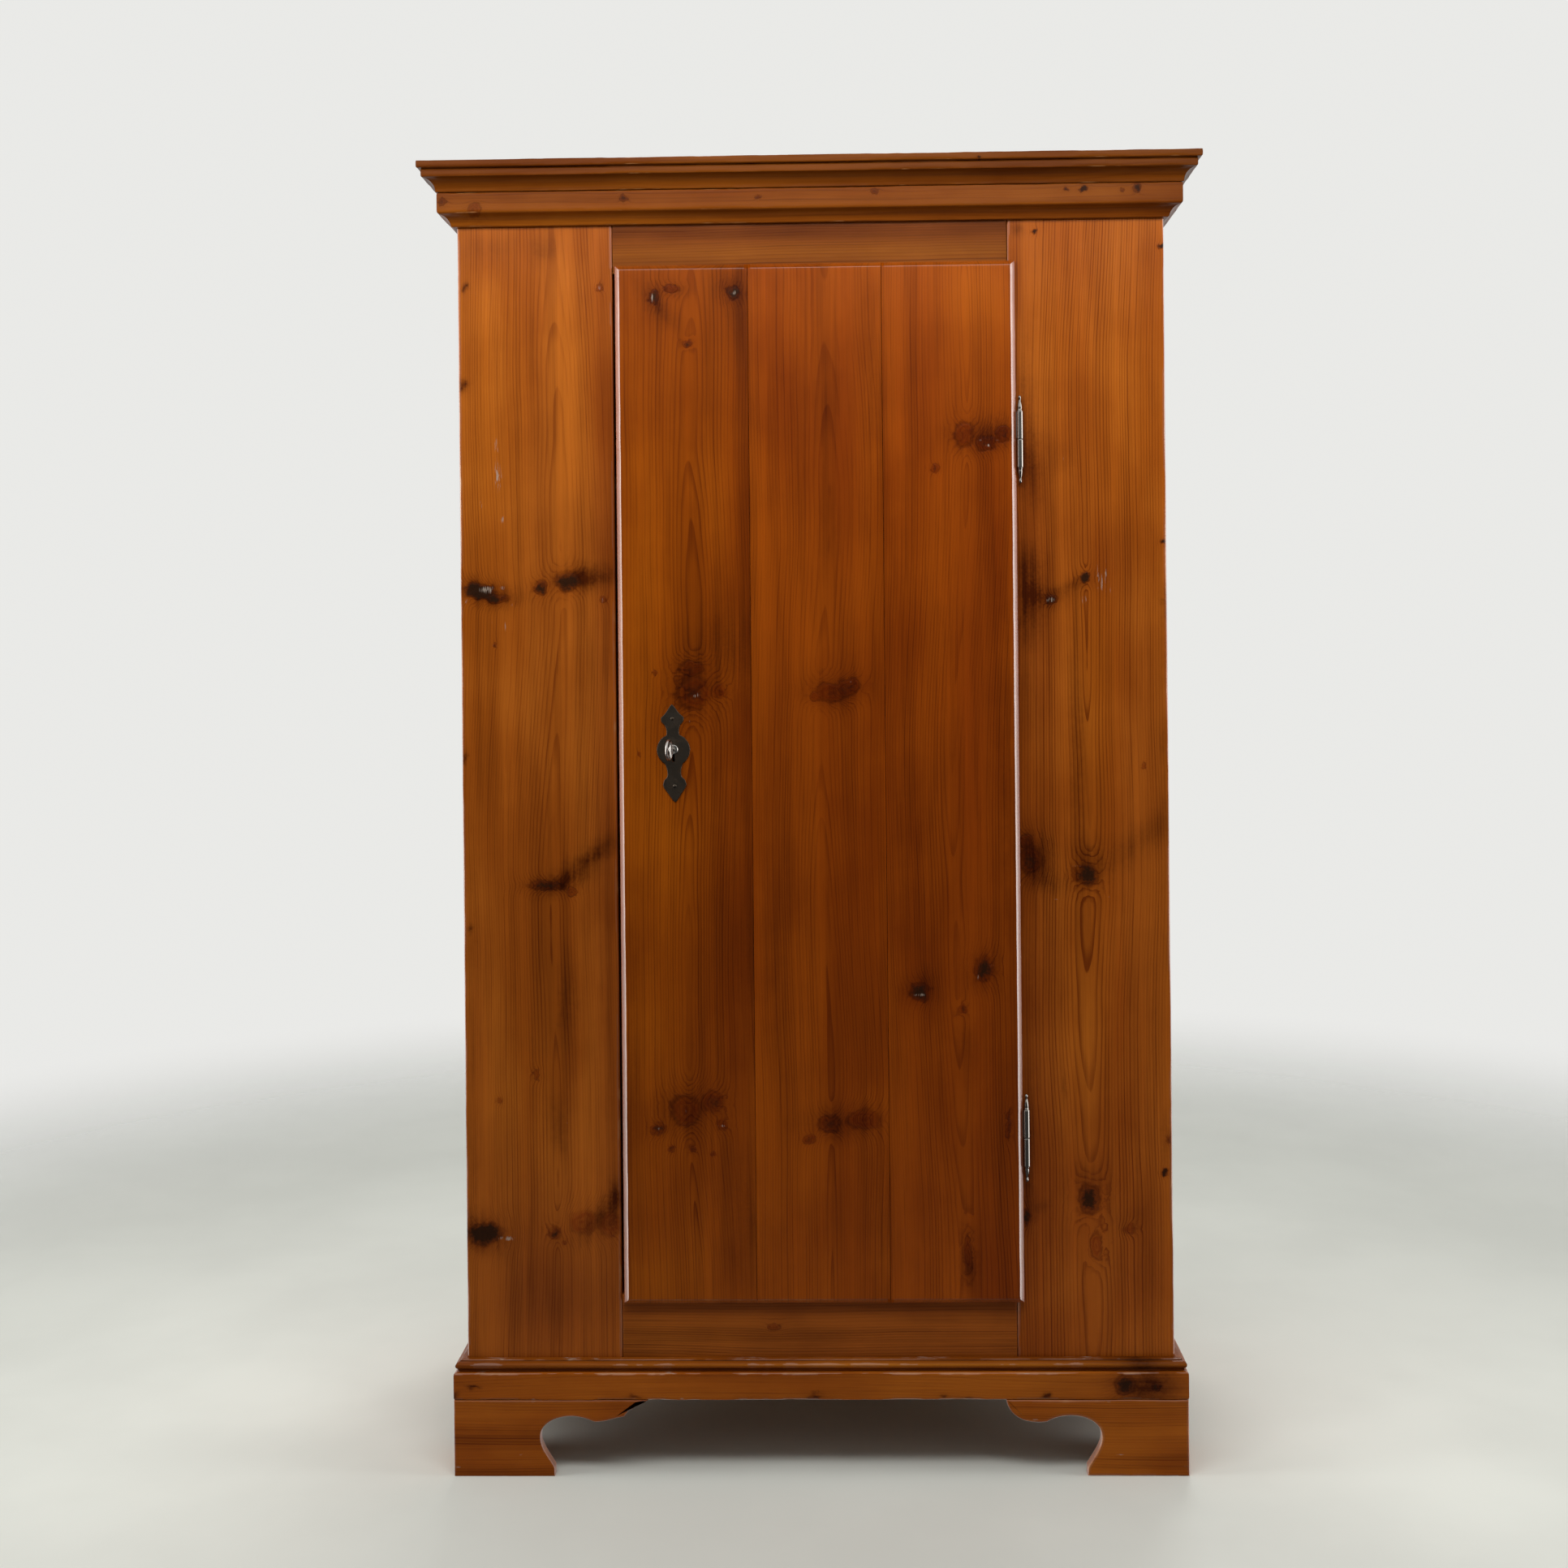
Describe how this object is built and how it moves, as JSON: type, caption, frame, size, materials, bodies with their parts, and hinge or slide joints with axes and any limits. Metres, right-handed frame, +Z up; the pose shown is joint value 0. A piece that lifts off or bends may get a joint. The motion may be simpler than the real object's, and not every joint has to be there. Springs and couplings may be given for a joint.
{
  "type": "cupboard",
  "caption": "Free-standing wooden cupboard with one hinged, lockable door, shelves inside, a moulded cornice, a plinth and ogee bracket feet.",
  "frame": {"origin": "on the floor, at the middle of the cupboard's overall width and depth", "axes": "+Z up, -Y is the front with the door, +X is the hinge side, on the right seen from the front"},
  "size_m": [1.094, 0.547, 1.85],
  "materials": {
    "front_pine": "old pine, stained honey to red-brown and waxed to a satin gloss",
    "inner_pine": "unstained old pine, dry and matt, as inside such cupboards",
    "shaded_pine": "rough, darkened pine of the back, the top and the corner blocks",
    "bright_steel": "worn bright steel of the hinges, the key and the bolt",
    "dark_iron": "dark browned iron of the lock plate, its nails and the lock case"
  },
  "bodies": {
    "carcass": {"side_board_left": "front_pine", "side_board_right": "front_pine", "bottom_board": "inner_pine", "top_board": "shaded_pine", "back_board_1": "shaded_pine", "back_board_2": "shaded_pine", "back_board_3": "shaded_pine", "back_board_4": "shaded_pine", "stile_left": "front_pine", "stile_right": "front_pine", "rail_top": "front_pine", "rail_bottom": "front_pine", "shelf_1": "inner_pine", "shelf_2": "inner_pine", "shelf_3": "inner_pine", "shelf_cleat_left_1": "inner_pine", "shelf_cleat_left_2": "inner_pine", "shelf_cleat_left_3": "inner_pine", "shelf_cleat_right_1": "inner_pine", "shelf_cleat_right_2": "inner_pine", "shelf_cleat_right_3": "inner_pine", "crown_moulding_front": "front_pine", "crown_moulding_left": "front_pine", "crown_moulding_right": "front_pine", "frieze_board_front": "front_pine", "frieze_board_left": "front_pine", "frieze_board_right": "front_pine", "plinth_board_front": "front_pine", "plinth_board_left": "front_pine", "plinth_board_right": "front_pine", "base_moulding_front": "front_pine", "base_moulding_left": "front_pine", "base_moulding_right": "front_pine", "foot_front_left": "front_pine", "foot_front_right": "front_pine", "foot_side_left_front": "front_pine", "foot_side_left_rear": "front_pine", "foot_side_right_front": "front_pine", "foot_side_right_rear": "front_pine", "foot_block_left_front": "shaded_pine", "foot_block_left_rear": "shaded_pine", "foot_block_right_front": "shaded_pine", "foot_block_right_rear": "shaded_pine", "hinge_frame_leaf_upper": "bright_steel", "hinge_frame_leaf_lower": "bright_steel", "hinge_pin_upper": "bright_steel", "hinge_pin_lower": "bright_steel"},
    "door": {"door_board_1": "front_pine", "door_board_2": "front_pine", "door_board_3": "front_pine", "door_batten_upper": "inner_pine", "door_batten_lower": "inner_pine", "hinge_door_leaf_upper": "bright_steel", "hinge_door_leaf_lower": "bright_steel", "lock_plate": "dark_iron", "lock_plate_nail_upper": "dark_iron", "lock_plate_nail_lower": "dark_iron", "lock_case": "dark_iron"},
    "lock_bolt": {"lock_bolt": "bright_steel"},
    "key": {"key": "bright_steel"}
  },
  "joints": [
    {"name": "door_hinge", "type": "hinge", "parent": "carcass", "child": "door", "pos_m": [0.2946, -0.232, 0.963], "axis": [0, 0, 1], "range_deg": [0, 160]},
    {"name": "key_turn", "type": "hinge", "parent": "door", "child": "key", "pos_m": [-0.1977, -0.2395, 1.023], "axis": [0, -1, 0], "range_deg": [0, 360]},
    {"name": "bolt_slide", "type": "slide", "parent": "door", "child": "lock_bolt", "axis": [-1, 0, 0], "range_m": [0, 0.025]}
  ],
  "couplings": [
    {"joint": "key_turn", "follows": "bolt_slide", "rad_per_m": 251.33}
  ]
}
